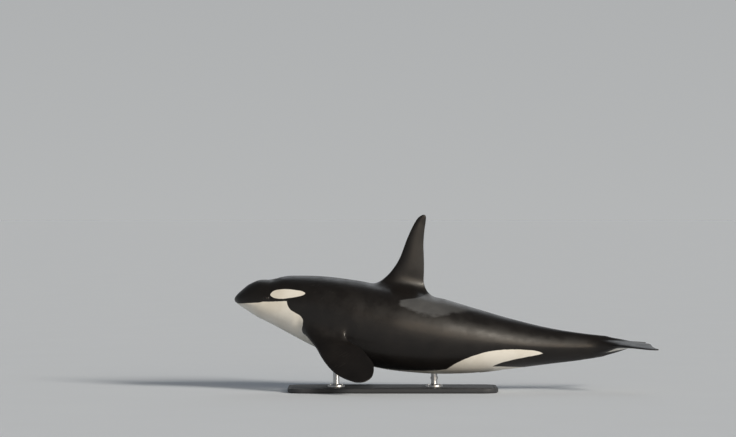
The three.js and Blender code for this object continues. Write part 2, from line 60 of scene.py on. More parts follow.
# The body's outline off its axis, in shares of its length: [station, back, belly, half width].
OUTLINE = [
    [0, 0, 0, 0], [0.003, 0.0085, -0.0062, 0.0118], [0.015, 0.0228, -0.0148, 0.0285],
    [0.032, 0.039, -0.0235, 0.0412], [0.062, 0.0536, -0.0385, 0.0535], [0.087, 0.0562, -0.0475, 0.0605],
    [0.103, 0.0636, -0.0535, 0.0646], [0.125, 0.0702, -0.0618, 0.0703], [0.15, 0.0742, -0.071, 0.0765],
    [0.22, 0.0832, -0.092, 0.0895], [0.3, 0.0875, -0.107, 0.0975], [0.38, 0.0885, -0.111, 0.0985],
    [0.48, 0.085, -0.1035, 0.09], [0.58, 0.0735, -0.087, 0.0735], [0.68, 0.058, -0.064, 0.052],
    [0.78, 0.0425, -0.0435, 0.033], [0.86, 0.032, -0.0315, 0.0215], [0.92, 0.0235, -0.0225, 0.0155],
    [0.96, 0.013, -0.012, 0.0105], [0.985, 0.0045, -0.004, 0.0046], [0.99, 0.0022, -0.002, 0.0034]
]
BODY_END = OUTLINE[-1][0]

# How high off the axis the body is widest, and how square its sections are (2 is an ellipse).
WIDEST = [[0, 0], [0.06, 0.002], [0.15, 0.001], [0.38, -0.013], [0.68, -0.004], [0.985, 0]]
SQUARENESS = [[0, 2], [0.1, 2.15], [0.3, 2.2], [0.55, 2.05], [0.75, 1.75], [0.96, 1.7], [0.99, 2]]

# The mouth line off the axis, [station, height], up to its corner under the eye.
MOUTH = [[0.0066, -0.0088], [0.0125, -0.0084], [0.037, -0.0049], [0.06, -0.0012], [0.0715, 0.0024]]
LIP_HEIGHT = 0.010
LIP_GROOVE = 0.011
UPPER_LIP_SWELL = 0.004

EYE_STATION = 0.0775
EYE_HEIGHT = 0.0125
EYE_RADIUS = 0.040
EYE_SUNK = 0.036
CORNEA_RADIUS = 0.016
CORNEA_SWELL = 0.0012

BLOWHOLE_STATION = 0.086
BLOWHOLE_RADIUS = 0.050
BLOWHOLE_SWEEP = math.radians(100)
BLOWHOLE_PATCH = (-0.0155, 0.024)
VENT_STATION = 0.64
VENT_REACH = 0.0286

# Each fin: [share of its span, leading edge, trailing edge] and [share of its span, thickness].
FIN_STATION = 0.335
FIN_PITCH_STATION = 0.39
FIN_OUTLINE = [
    [-0.14, -0.014, 0.152], [0, -0.004, 0.134], [0.04, 0.0045, 0.12], [0.12, 0.0168, 0.11],
    [0.25, 0.0305, 0.105], [0.4, 0.0405, 0.0998], [0.6, 0.0465, 0.0908], [0.8, 0.0545, 0.0856],
    [0.92, 0.062, 0.0845], [0.975, 0.0686, 0.0825], [1, 0.0755, 0.08]
]
FIN_THICKNESS = [
    [-0.14, 0.33], [0, 0.25], [0.05, 0.172], [0.12, 0.14], [0.4, 0.104], [0.8, 0.058], [1, 0.026]
]

FLIPPER_STATION = 0.222
FLIPPER_HEIGHT = -0.052
FLIPPER_SWEEP = math.radians(38)
FLIPPER_DROOP = math.radians(40)
FLIPPER_TWIST = math.radians(12)
FLIPPER_BEND = 0.06
FLIPPER_OUTLINE = [
    [-0.3, -0.17, 0.27], [0, -0.165, 0.19], [0.15, -0.165, 0.185], [0.35, -0.19, 0.23],
    [0.55, -0.2, 0.28], [0.75, -0.165, 0.275], [0.9, -0.09, 0.21], [0.97, -0.02, 0.135], [1, 0.04, 0.075]
]
FLIPPER_THICKNESS = [[-0.3, 0.16], [0, 0.138], [0.12, 0.118], [0.5, 0.08], [0.85, 0.042], [1, 0.018]]

FLUKE_STATION = 0.915
FLUKE_PITCH_STATION = 0.95
FLUKE_TIP_DROOP = 0.075
FLUKE_OUTLINE = [
    [0, -0.024, 0.074], [0.06, -0.015, 0.0815], [0.12, -0.004, 0.0885], [0.2, 0.0085, 0.0955],
    [0.35, 0.0245, 0.101], [0.5, 0.0385, 0.1015], [0.65, 0.0535, 0.1012], [0.8, 0.0705, 0.1035],
    [0.92, 0.088, 0.1085], [1, 0.105, 0.1125]
]
FLUKE_THICKNESS = [[0, 0.19], [0.1, 0.142], [0.25, 0.098], [0.6, 0.048], [0.9, 0.022], [1, 0.012]]
EDGE_THICKNESS = 0.008

# The stand
BASE_CORNER = 0.26
FOOT_HEIGHT = 0.012
FOOT_SETBACK = 0.018
GROOVE_SETBACK = 0.05
GROOVE_WALL = 0.003
GROOVE_WIDTH = 0.006
GROOVE_DEPTH = 0.005
ROD_RADIUS = 0.05
FLANGE_RADIUS = 0.135
FLANGE_HEIGHT = 0.028
BOLT_CIRCLE = 0.106
BOLTS_ROUND = 6
COLLAR_DROP = 0.075

# The skin's cage: columns run from the left side, 0, over the back, 9, to the right, 18, and the belly, 27.
COLUMNS = 36
LEFT, BACK, RIGHT, BELLY = 0, 9, 18, 27
FLIPPER_COLUMN = 3
CAP_ROWS = 4
# Stretches of even rings: (from station, to station, number of rings).
STRETCHES = [
    (0.0095, 0.0125, 1), (0.0125, 0.0215, 2), (0.0215, 0.0355, 2), (0.0355, 0.0655, 4),
    (0.0655, 0.0895, 4), (0.0895, 0.18, 9), (0.18, 0.26, 8), (0.26, 0.328, 6), (0.328, 0.47, 12),
    (0.47, 0.6, 10), (0.6, 0.68, 7), (0.68, 0.895, 15), (0.895, 0.975, 8), (0.975, 0.988, 2)
]
RINGS = [STRETCHES[0][0]]
for front, rear, count in STRETCHES:
    RINGS += [front + (rear - front) * (step + 1) / count for step in range(count)]
UNPLACED, CAP = -1, -2
SNOUT_TILT = math.radians(45)
UPRIGHT_FROM = 0.12
FIRST_COLUMN_TURN = math.radians(10)
CORNER_FADE = 0.004
SKIN_STEP = 0.002
NORMAL_STEP = 0.0002

# Each fin's patch of skin: columns to either side of its middle, and the stations of its ends.
FIN_PATCH = (2, (0.328, 0.47))
FLIPPER_PATCH = (2, (0.17, 0.283))
FLUKE_PATCH = (5, (0.895, 0.988))

# A fin's cage: how far its first and last chord points lie inside its edges, the skin's share in its first
# rows, and its rows from the body, 0, to where the tip rounds off, with the rounded tip last.
LEADING_INSET = 0.03
TRAILING_INSET = 0.02
ROOT_BLENDS = [0.5, 0.15]
FIN_ROWS = [0, 0.05, 0.12, 0.22, 0.34, 0.47, 0.61, 0.74, 0.86, 0.95, 1]


# Smooth curves and the body's form

def curve_through(rows, column=1, warp=float):
    """A smooth curve through rows of [x, y0, y1, ...] that never overshoots them."""
    xs = [warp(row[0]) for row in rows]
    ys = [row[column] for row in rows]
    rise = [(ys[i + 1] - ys[i]) / (xs[i + 1] - xs[i]) for i in range(len(xs) - 1)]
    slopes = [rise[0]]
    for before, after in zip(rise, rise[1:]):
        slopes.append(0 if before * after <= 0 else 2 * before * after / (before + after))
    slopes.append(rise[-1])

    def value_at(value):
        x = min(max(warp(max(value, rows[0][0])), xs[0]), xs[-1])
        i = 0
        while i < len(xs) - 2 and x > xs[i + 1]:
            i += 1
        width = xs[i + 1] - xs[i]
        t = (x - xs[i]) / width
        start = (2 * t**3 - 3 * t**2 + 1) * ys[i] + (t**3 - 2 * t**2 + t) * width * slopes[i]
        end = (3 * t**2 - 2 * t**3) * ys[i + 1] + (t**3 - t**2) * width * slopes[i + 1]
        return start + end

    return value_at


def eased(value, low, high):
    t = min(max((value - low) / (high - low), 0), 1)
    return t * t * (3 - 2 * t)


pitch_at = curve_through(PITCH)
back_at = curve_through(OUTLINE, 1, math.sqrt)
belly_at = curve_through(OUTLINE, 2, math.sqrt)
half_width_at = curve_through(OUTLINE, 3, math.sqrt)
widest_at = curve_through(WIDEST)
squareness_at = curve_through(SQUARENESS)
mouth_at = curve_through(MOUTH)


def back_direction(station):
    angle = math.radians(pitch_at(station))
    return Vector((math.cos(angle), 0, -math.sin(angle)))


def up_direction(station):
    angle = math.radians(pitch_at(station))
    return Vector((math.sin(angle), 0, math.cos(angle)))


AXIS_STEPS = 1000
AXIS = [SNOUT]
for axis_step in range(AXIS_STEPS):
    AXIS.append(AXIS[-1] + back_direction((axis_step + 0.5) / AXIS_STEPS) * BODY_LENGTH / AXIS_STEPS)


def axis_point(station):
    along = min(max(station, 0), 1) * AXIS_STEPS
    i = min(int(along), AXIS_STEPS - 1)
    point = AXIS[i].lerp(AXIS[i + 1], along - i)
    past = station - min(max(station, 0), 1)
    return point + back_direction(station) * past * BODY_LENGTH


def posed(straight):
    """The point of (station, height, out), all in shares of the length, in the animal's pose."""
    station, height, out = straight
    point = axis_point(station) + up_direction(station) * height * BODY_LENGTH
    return point + Vector((0, out * BODY_LENGTH, 0))


def straightened(point):
    """The (station, height, out) of a point."""
    station = (point.x - SNOUT.x) / BODY_LENGTH
    for _ in range(5):
        station += (point - axis_point(station)).dot(back_direction(station)) / BODY_LENGTH
    height = (point - axis_point(station)).dot(up_direction(station)) / BODY_LENGTH
    return Vector((station, height, point.y / BODY_LENGTH))


def section(station, height):
    """The height where the body is widest, its reach above or below that, and how square it is."""
    middle = widest_at(station)
    reach = back_at(station) - middle if height > middle else middle - belly_at(station)
    return middle, reach, squareness_at(station)


def fullness(station, height, out):
    """1 on the skin, less inside the body and more outside it."""
    middle, reach, power = section(station, height)
    return abs((height - middle) / reach) ** power + abs(out / half_width_at(station)) ** power


def within(straight):
    station, height, out = straight
    return 0 < station < BODY_END and fullness(station, height, out) < 1


def halved(inside, near, far, rounds):
    """Closes in on where inside stops holding, and gives the last numbers on either side."""
    for _ in range(rounds):
        middle = (near + far) / 2
        if inside(middle):
            near = middle
        else:
            far = middle
    return near, far


def skin_along(start, direction, reach=0.2):
    """Where a ray from inside the straight body meets its skin."""
    near, _ = halved(lambda distance: within(start + direction * distance), 0.0, reach, 24)
    return start + direction * near


def side_point(station, height, side):
    """The skin's point at a station and height on the left, -1, or the right, 1."""
    middle, reach, power = section(station, height)
    share = min(abs(height - middle) / reach, 1)
    return posed((station, height, side * half_width_at(station) * (1 - share**power) ** (1 / power)))


def ridge_point(station, out, face):
    """The skin's point on the back, 1, or the belly, -1, so far out from the middle."""
    middle, reach, power = section(station, face)
    share = (1 - min(abs(out / half_width_at(station)), 1) ** power) ** (1 / power)
    return posed((station, middle + face * reach * share, out))


def skin_normal(point):
    """The way out of the body at a point of its skin."""
    def form(place):
        return fullness(max(place[0], NORMAL_STEP / 10), place[1], place[2])

    slope = []
    for axis in range(3):
        offset = Vector((0, 0, 0))
        offset[axis] = NORMAL_STEP
        slope.append(form(point + offset) - form(point - offset))
    back, up = back_direction(point[0]) * slope[0], up_direction(point[0]) * slope[1]
    return (back + up + Vector((0, slope[2], 0))).normalized()


# Modelling helpers

def deselect_all():
    bpy.ops.object.select_all(action="DESELECT")


def pick(piece):
    """Selects one piece and nothing else."""
    deselect_all()
    piece.select_set(True)
    bpy.context.view_layer.objects.active = piece


def start_piece(name, add, **sizes):
    """A new piece, begun as a primitive."""
    deselect_all()
    add(**sizes)
    bpy.context.object.name = name
    return bpy.context.object


def start_editing(piece, kind="FACE"):
    pick(piece)
    bpy.ops.object.mode_set(mode="EDIT")
    bpy.ops.mesh.select_mode(type=kind)


def stop_editing():
    bpy.ops.object.mode_set(mode="OBJECT")


def cage_of(piece):
    cage = bmesh.from_edit_mesh(piece.data)
    cage.verts.ensure_lookup_table()
    cage.faces.ensure_lookup_table()
    return cage


def marked_cage(piece):
    """The open mesh, and the layers that keep each point's ring and column."""
    cage = cage_of(piece)
    return cage, cage.verts.layers.int["ring"], cage.verts.layers.int["column"]


def choose(piece, kind, wanted):
    """Selects the verts, edges or faces that wanted accepts, and nothing else."""
    bpy.ops.mesh.select_all(action="DESELECT")
    for item in getattr(cage_of(piece), kind):
        item.select_set(bool(wanted(item)))
    bmesh.update_edit_mesh(piece.data)


def face_outwards():
    """Turns every face of the open mesh outwards."""
    bpy.ops.mesh.select_all(action="SELECT")
    bpy.ops.mesh.normals_make_consistent(inside=False)


def extrude(up):
    bpy.ops.mesh.extrude_region_move(TRANSFORM_OT_translate={"value": (0, 0, up)})


def choose_patch(piece, rings, columns):
    """Selects the skin's faces between two rings and in a run of columns."""
    _, ring, column = marked_cage(piece)
    wanted = {number % COLUMNS for number in columns}

    def in_patch(face):
        return all(rings[0] <= point[ring] <= rings[1] and point[column] in wanted for point in face.verts)

    choose(piece, "faces", in_patch)


def nearest_ring(station):
    return min(range(len(RINGS)), key=lambda i: abs(RINGS[i] - station))


def smooth_levels(piece, levels):
    modifier = piece.modifiers.new("smooth", "SUBSURF")
    modifier.levels = levels
    modifier.render_levels = levels
    return modifier


def apply_modifiers(piece):
    pick(piece)
    for modifier in list(piece.modifiers):
        bpy.ops.object.modifier_apply(modifier=modifier.name)


def keep_for_points(piece, name, values, kind="FLOAT"):
    """Keeps a number, or a vector, for each point of a piece, which its paint reads."""
    kept = piece.data.attributes.new(name, kind, "POINT")
    kept.data.foreach_set("value" if kind == "FLOAT" else "vector", values)


def fit_to_form(piece, rounds=3, share=0.85):
    """Moves the cage until its smoothed surface passes through the points where the cage lay."""
    aims = [vertex.co.copy() for vertex in piece.data.vertices]
    modifier = smooth_levels(piece, 1)
    for _ in range(rounds):
        smoothed = piece.evaluated_get(bpy.context.evaluated_depsgraph_get()).data
        places = [smoothed.vertices[i].co.copy() for i in range(len(aims))]
        for vertex, aim, place in zip(piece.data.vertices, aims, places):
            vertex.co += (aim - place) * share
        piece.data.update()
        bpy.context.view_layer.update()
    piece.modifiers.remove(modifier)


# The skin's cage

def ring_centre(station):
    corner = MOUTH[-1][0]
    height = mouth_at(station)
    rest = eased(station, corner, UPRIGHT_FROM)
    return Vector((station, height * (1 - rest) + widest_at(station) * rest, 0))


def ring_angle(station, column):
    """The columns beside the mouth line run close to it, as its lips, and spread out behind its corner."""
    lip = math.asin(min(LIP_HEIGHT / BODY_LENGTH / half_width_at(station), 0.3))
    first = lip + (FIRST_COLUMN_TURN - lip) * eased(station, MOUTH[-1][0], UPRIGHT_FROM)
    quarter, step = divmod(column % COLUMNS, BACK)
    if quarter % 2:
        step = BACK - step
    angle = 0 if step == 0 else first + (step - 1) * (math.pi / 2 - first) / (BACK - 1)
    half_turn = (quarter + quarter % 2) * math.pi / 2
    return half_turn - angle if quarter % 2 else half_turn + angle


def ring_aim(station, column):
    """The skin's point on a ring whose plane leans forward at the snout, in straight shares."""
    tilt = SNOUT_TILT * (1 - eased(station, MOUTH[0][0], UPRIGHT_FROM))
    angle = ring_angle(station, column)
    rise = math.sin(angle)
    direction = Vector((-math.sin(tilt) * rise, math.cos(tilt) * rise, -math.cos(angle)))
    return skin_along(ring_centre(station), direction)


def with_lips(point, column, station):
    """Sinks the mouth line between its lips, and fades both out at the corner."""
    corner = MOUTH[-1][0]
    fade = 1 - eased(station, corner - CORNER_FADE, corner + CORNER_FADE)
    offset = (column + BACK) % (2 * BACK) - BACK
    if abs(offset) > 1 or fade <= 0:
        return posed(point)
    upper = (offset == 1) == (column % COLUMNS in range(LEFT, BACK))
    move = -LIP_GROOVE if offset == 0 else (UPPER_LIP_SWELL if upper else 0)
    return posed(point) + skin_normal(point) * move * fade


def make_cage():
    """Rings of skin, extruded one by one from a circle."""
    piece = start_piece("orca_skin", bpy.ops.mesh.primitive_circle_add, vertices=COLUMNS, radius=0.1)
    start_editing(piece, "EDGE")
    cage = cage_of(piece)
    column = cage.verts.layers.int.new("column")
    cage.verts.layers.int.new("ring")
    cage.verts.ensure_lookup_table()
    for index, vertex in enumerate(cage.verts):
        vertex[column] = index
    bmesh.update_edit_mesh(piece.data)
    bpy.ops.mesh.select_all(action="SELECT")
    for number in range(1, len(RINGS)):
        extrude(0.1)
        mark_selected(piece, number)
    bpy.ops.mesh.edge_face_add()
    bpy.ops.mesh.poke()
    mark_selected(piece, UNPLACED, wanted=lambda vertex: len(vertex.link_edges) == COLUMNS)
    close_snout(piece)
    lay_cage(piece)
    return piece


def mark_selected(piece, number, wanted=lambda vertex: vertex.select):
    cage, ring, _ = marked_cage(piece)
    for vertex in cage.verts:
        if wanted(vertex):
            vertex[ring] = number
    bmesh.update_edit_mesh(piece.data)


def cap_place(column):
    """Where a column of the first ring lies on the flat grid of the snout's cap."""
    half_width = BACK - CAP_ROWS
    turn = (column + BACK) % COLUMNS - BACK
    if abs(turn) <= CAP_ROWS:
        return (-half_width, turn)
    if column <= RIGHT - CAP_ROWS:
        return (column - BACK, CAP_ROWS)
    if column <= RIGHT + CAP_ROWS:
        return (half_width, RIGHT - column)
    return (BELLY - column, -CAP_ROWS)


def close_snout(piece):
    """Fills the first ring with a grid whose middle row carries the mouth line round the front."""
    cage, ring, column = marked_cage(piece)
    for vertex in cage.verts:
        if vertex[ring] == 0:
            vertex.co = Vector((*cap_place(vertex[column]), -1))
    choose(piece, "edges", lambda edge: all(vertex[ring] == 0 for vertex in edge.verts))
    count = len(cage_of(piece).verts)
    bpy.ops.mesh.fill_grid(span=2 * (BACK - CAP_ROWS), use_interp_simple=True)
    mark_selected(piece, CAP, wanted=lambda vertex: vertex.index >= count)


def lay_cage(piece):
    """Lays every ring and the snout's cap on the body's form."""
    cage, ring, column = marked_cage(piece)
    first = {cap_place(c): ring_aim(RINGS[0], c) for c in range(COLUMNS)}
    for vertex in cage.verts:
        number = vertex[ring]
        if number == UNPLACED:
            vertex.co = posed((BODY_END - 0.0004, 0, 0))
        elif number == CAP:
            vertex.co = cap_aim(round(vertex.co.x), round(vertex.co.y), first)
        else:
            station = RINGS[number]
            vertex.co = with_lips(ring_aim(station, vertex[column]), vertex[column], station)
    face_outwards()
    bmesh.update_edit_mesh(piece.data)
    stop_editing()


def cap_aim(across, up, first):
    """A point of the snout's cap: between the first ring's four sides, then forward onto the skin."""
    half_width = BACK - CAP_ROWS
    u = (across + half_width) / (2 * half_width)
    v = (up + CAP_ROWS) / (2 * CAP_ROWS)
    sides = first[(-half_width, up)] * (1 - u) + first[(half_width, up)] * u
    ends = first[(across, -CAP_ROWS)] * (1 - v) + first[(across, CAP_ROWS)] * v
    low = first[(-half_width, -CAP_ROWS)] * (1 - u) + first[(half_width, -CAP_ROWS)] * u
    high = first[(-half_width, CAP_ROWS)] * (1 - u) + first[(half_width, CAP_ROWS)] * u
    inner = sides + ends - (low * (1 - v) + high * v)
    point = skin_along(Vector(inner), Vector((-1, 0, 0)), 0.03)
    move = {0: -LIP_GROOVE, 1: UPPER_LIP_SWELL}.get(up, 0)
    return posed(point) + skin_normal(point) * move


# Fins, grown out of the skin

def blade_half_thickness(chord, thickness):
    """Round at the leading edge, 0, and thin at the trailing edge, 1."""
    root = 0.2969 * math.sqrt(chord) - 0.126 * chord
    wedge = -0.3516 * chord**2 + 0.2843 * chord**3 - 0.1036 * chord**4
    return 5 * thickness * (root + wedge) + EDGE_THICKNESS / 2 * chord


class Blade:
    """A fin from its outline, with point(share, along) for its middle surface and the way it is thick."""

    def __init__(self, outline, thickness, point, thick_along, margin, tip_start):
        self.leading_at, self.trailing_at = curve_through(outline, 1), curve_through(outline, 2)
        self.thickness_at, self.thick_along = curve_through(thickness), thick_along
        self.point, self.root = point, outline[0][0]
        self.margin, self.tip_start = margin, tip_start

    def middle(self, share, chord):
        leading = self.leading_at(share)
        return self.point(share, leading + (self.trailing_at(share) - leading) * chord)

    def leaves_body_at(self, chord):
        """The share of the span where the blade comes out of the body."""
        return halved(lambda share: within(straightened(self.middle(share, chord))), self.root, 0.5, 18)[1]

    def place(self, row, step, steps, side, sides, tip):
        """A cage point: row 0 is just clear of the body and 1 the tip; side runs from -sides to sides."""
        chord = LEADING_INSET + (1 - LEADING_INSET - TRAILING_INSET) * (step / steps) ** 1.15
        across = side / sides
        if abs(side) < sides and step == 0:
            chord = LEADING_INSET * across**2
        elif abs(side) < sides and step == steps:
            chord = 1 - TRAILING_INSET * across**2
        if tip:
            return self.tip_place(chord, across)
        start = self.leaves_body_at(chord) + self.margin
        share = start + (self.tip_start - start) * row
        half = blade_half_thickness(chord, self.thickness_at(share))
        return self.middle(share, chord) + self.thick_along * half * across

    def tip_place(self, chord, across):
        """On the rounded end, which rises from a straight chord to the fin's very tip."""
        leading, trailing = self.leading_at(self.tip_start), self.trailing_at(self.tip_start)
        sweep = (self.leading_at(1) + self.trailing_at(1) - leading - trailing) / 2
        rise = 1 - abs(2 * chord - 1) ** 2.2
        along = leading + (trailing - leading) * chord + sweep * rise
        share = self.tip_start + (1 - self.tip_start) * rise * (1 - 0.3 * across**2)
        half = blade_half_thickness(chord, self.thickness_at(share))
        return self.point(share, along) + self.thick_along * half * across


def dorsal_blade():
    back = back_direction(FIN_PITCH_STATION)
    up = up_direction(FIN_PITCH_STATION)
    foot = posed((FIN_STATION, back_at(FIN_STATION), 0))

    def point(share, along):
        return foot + up * share * FIN_HEIGHT + back * along * BODY_LENGTH

    return Blade(FIN_OUTLINE, FIN_THICKNESS, point, Vector((0, 1, 0)), margin=0.035, tip_start=0.95)


def flipper_blade():
    """The left flipper, swept back and carried low, its tip bent in a little."""
    back = back_direction(FLIPPER_STATION)
    up = up_direction(FLIPPER_STATION)
    out_down = Vector((0, -1, 0)) * math.cos(FLIPPER_DROOP) - up * math.sin(FLIPPER_DROOP)
    span = out_down * math.cos(FLIPPER_SWEEP) + back * math.sin(FLIPPER_SWEEP)
    chord = back * math.cos(FLIPPER_SWEEP) - out_down * math.sin(FLIPPER_SWEEP)
    chord.rotate(Quaternion(span, FLIPPER_TWIST))
    inward = span.cross(chord).normalized()
    root = side_point(FLIPPER_STATION, FLIPPER_HEIGHT, -1)

    def point(share, along):
        bend = inward * FLIPPER_BEND * max(share, 0) ** 2
        return root + (chord * along + span * share + bend) * FLIPPER_LENGTH

    return Blade(FLIPPER_OUTLINE, FLIPPER_THICKNESS, point, inward, margin=0.045, tip_start=0.9)


def fluke_blade():
    """The left fluke, level at its root and curling down towards its tip."""
    back = back_direction(FLUKE_PITCH_STATION)
    up = up_direction(FLUKE_PITCH_STATION)
    foot = posed((FLUKE_STATION, 0, 0))

    def point(share, along):
        place = foot + back * along * BODY_LENGTH - up * FLUKE_TIP_DROOP * max(share, 0) ** 2.4
        return Vector((place.x, -share * FLUKE_HALF_SPAN, place.z))

    return Blade(FLUKE_OUTLINE, FLUKE_THICKNESS, point, up, margin=0.08, tip_start=0.92)


def columns_past(column, centre):
    """How many columns past the middle one a column lies, the short way round."""
    return (column - centre + COLUMNS // 2) % COLUMNS - COLUMNS // 2


def grow_blade(piece, blade, centre, patch, mirrored=False):
    """Extrudes a patch of the skin row by row into a fin, its first rows drawn towards the skin."""
    sides, stations = patch
    first, last = (nearest_ring(station) for station in stations)
    start_editing(piece)
    choose_patch(piece, (first, last), range(centre - sides, centre + sides + 1))
    cage, ring, column = marked_cage(piece)
    skin = {(vertex[ring], vertex[column]): vertex.co.copy() for vertex in cage.verts if vertex.select}
    for number, row in enumerate(FIN_ROWS):
        extrude(0.01)
        cage, ring, column = marked_cage(piece)
        tip = number == len(FIN_ROWS) - 1
        blend = ROOT_BLENDS[number] if number < len(ROOT_BLENDS) else 0
        for vertex in cage.verts:
            if vertex.select:
                side = columns_past(vertex[column], centre) * (-1 if mirrored else 1)
                place = blade.place(row, vertex[ring] - first, last - first, side, sides, tip)
                place = Vector((place.x, -place.y, place.z)) if mirrored else place
                vertex.co = place.lerp(skin[(vertex[ring], vertex[column])], blend)
        bmesh.update_edit_mesh(piece.data)
    ease_root(piece, [place for (number, turn), place in skin.items()
                      if number in (first, last) or abs(columns_past(turn, centre)) == sides])
    stop_editing()


def ease_root(piece, places, reach=0.1, rounds=4):
    """Relaxes the cage near the line where a fin leaves the body."""
    bpy.ops.mesh.select_mode(type="VERT")
    choose(piece, "verts", lambda vertex: any((vertex.co - place).length < reach for place in places))
    bpy.ops.mesh.vertices_smooth(factor=0.5, repeat=rounds)


# Small forms let into the skin

def let_in(piece, rings, columns, axes, loops):
    """Joins a patch of skin to one face and insets it by loops, each of which turns an angle into a point."""
    middle, across, up = axes
    start_editing(piece)
    choose_patch(piece, rings, columns)
    bpy.ops.mesh.dissolve_faces()
    angles = None
    for number, loop in enumerate(loops):
        bpy.ops.mesh.inset(thickness=0.002)
        cage, ring, _ = marked_cage(piece)
        corners = list(next(face for face in cage.faces if face.select).verts)
        count = len(corners)
        if angles is None:
            offsets = [((v.co - middle).dot(across), (v.co - middle).dot(up)) for v in corners]
            reach = [max(abs(offset[axis]) for offset in offsets) for axis in (0, 1)]
            angles = [math.atan2(y / reach[1], x / reach[0]) for x, y in offsets]
            start = min(range(count), key=lambda i: abs(angles[i]))
            sense = 1 if angles[(start + 1) % count] > angles[start] else -1
        for index in range(count):
            vertex = corners[(start + index) % count]
            even = sense * index * math.tau / count
            lean = (angles[(start + index) % count] - even + math.pi) % math.tau - math.pi
            vertex.co = loop((even + lean * max(0, 1 - number / 3)) % math.tau)
            vertex[ring] = UNPLACED
        bmesh.update_edit_mesh(piece.data)
    stop_editing()


def eye_frame(side):
    surface = side_point(EYE_STATION, EYE_HEIGHT, side)
    behind = (side_point(EYE_STATION + SKIN_STEP, EYE_HEIGHT, side) - surface).normalized()
    above = (side_point(EYE_STATION, EYE_HEIGHT + SKIN_STEP, side) - surface).normalized()
    return surface, behind, above, behind.cross(above) * -side


def let_in_eye(piece, side):
    """Lids that swell over the eyeball, an almond opening that hugs it, and the socket round it."""
    surface, behind, above, outward = eye_frame(side)

    def on_skin(reach, rise, lift):
        def point(angle):
            place = surface + behind * reach * math.cos(angle) + above * rise * math.sin(angle)
            station, height, _ = straightened(place)
            return side_point(station, height, side) + outward * lift
        return point

    def over_ball(reach, rise, lift, pinch=1):
        def point(angle):
            along = reach * math.cos(angle)
            up = rise * math.sin(angle) * abs(math.sin(angle)) ** (pinch - 1)
            ball = math.sqrt(EYE_RADIUS**2 - along**2 - up**2) - EYE_SUNK
            return surface + behind * along + above * up + outward * (ball + lift)
        return point

    def inside(radius, depth):
        def point(angle):
            return surface + (behind * math.cos(angle) + above * math.sin(angle)) * radius - outward * depth
        return point

    loops = [
        on_skin(0.064, 0.044, 0),
        on_skin(0.049, 0.033, 0.0025),
        on_skin(0.040, 0.0255, 0.0065),
        on_skin(0.0335, 0.0195, 0.0065),
        over_ball(0.0285, 0.0145, 0.0035, 1.25),
        over_ball(0.0272, 0.0130, 0.0010, 1.25),
        over_ball(0.0300, 0.0230, 0.0012),
        inside(0.0335, 0.012),
        inside(0.0435, 0.036),
        inside(0.0300, 0.070),
    ]
    centre = LEFT if side < 0 else RIGHT
    columns = [centre - side * step for step in (1, 2, 3)]
    rings = (nearest_ring(EYE_STATION) - 2, nearest_ring(EYE_STATION) + 2)
    let_in(piece, rings, columns, (surface, behind, above), loops)


def ridge_frame(station, face):
    """A place on the middle of the back, 1, or the belly, -1, with the ways to the rear and the right."""
    surface = ridge_point(station, 0, face)
    behind = (ridge_point(station + SKIN_STEP, 0, face) - surface).normalized()
    return surface, behind, Vector((0, 1, 0))


def raised(place, face, lift):
    """The skin's point on the back or the belly by a place, raised a little."""
    station, _, out = straightened(place)
    place = ridge_point(station, out, face)
    return place + skin_normal(straightened(place)) * lift


def let_in_blowhole(piece):
    """A crescent slit between swollen lips, its horns pointing forward."""
    surface, behind, right = ridge_frame(BLOWHOLE_STATION, 1)

    def on_skin(across, along, lift):
        return raised(surface + right * across + behind * along, 1, lift)

    def round_it(across, along, shift, lift):
        return lambda angle: on_skin(across * math.cos(angle), shift + along * math.sin(angle), lift)

    def crescent(distance, lift):
        def point(angle):
            share = 1 - 2 * angle / math.pi if angle <= math.pi else 2 * (angle - math.pi) / math.pi - 1
            turn = BLOWHOLE_SWEEP * share
            out = max(-1, min(1, math.sin(angle) * 1.6)) * distance
            past = abs(math.cos(angle)) ** 6 * distance * (1 if share >= 0 else -1)
            across = (1.15 * BLOWHOLE_RADIUS + out) * math.sin(turn) + past * math.cos(turn)
            along = (0.8 * BLOWHOLE_RADIUS + out) * math.cos(turn) - past * math.sin(turn)
            return on_skin(across, along, lift * (1 - 0.7 * abs(math.cos(angle)) ** 6))
        return point

    def between(one, other, share):
        return lambda angle: one(angle).lerp(other(angle), share)

    rim, lip = round_it(0.105, 0.068, 0.010, 0), crescent(0.016, 0.007)
    loops = [
        round_it(0.155, 0.092, 0.022, 0),
        rim,
        between(rim, lip, 0.45),
        between(rim, lip, 0.8),
        crescent(0.012, 0.008),
        crescent(0.006, 0.007),
        crescent(0.0024, 0.001),
        crescent(0.0020, -0.012),
        crescent(0.0018, -0.028),
    ]
    tops = [ring_aim(station, BACK)[0] for station in RINGS]
    front, rear = BLOWHOLE_PATCH
    rings = [i for i, top in enumerate(tops) if front < top - BLOWHOLE_STATION < rear]
    let_in(piece, (rings[0], rings[-1]), range(BACK - 3, BACK + 4), (surface, right, behind), loops)


def let_in_vent(piece):
    """A long slit on the belly, with low lips."""
    surface, behind, right = ridge_frame(VENT_STATION, -1)

    def slit(along, across, lift):
        def point(angle):
            offset = behind * along * math.cos(angle) + right * across * math.sin(angle)
            return raised(surface + offset, -1, lift)
        return point

    loops = [
        slit(0.185, 0.050, 0),
        slit(0.175, 0.024, 0.004),
        slit(0.165, 0.010, 0.006),
        slit(0.160, 0.003, 0.000),
        slit(0.158, 0.0022, -0.015),
        slit(0.155, 0.002, -0.030),
    ]
    rings = (nearest_ring(VENT_STATION - VENT_REACH), nearest_ring(VENT_STATION + VENT_REACH))
    let_in(piece, rings, range(BELLY - 1, BELLY + 2), (surface, behind, right), loops)


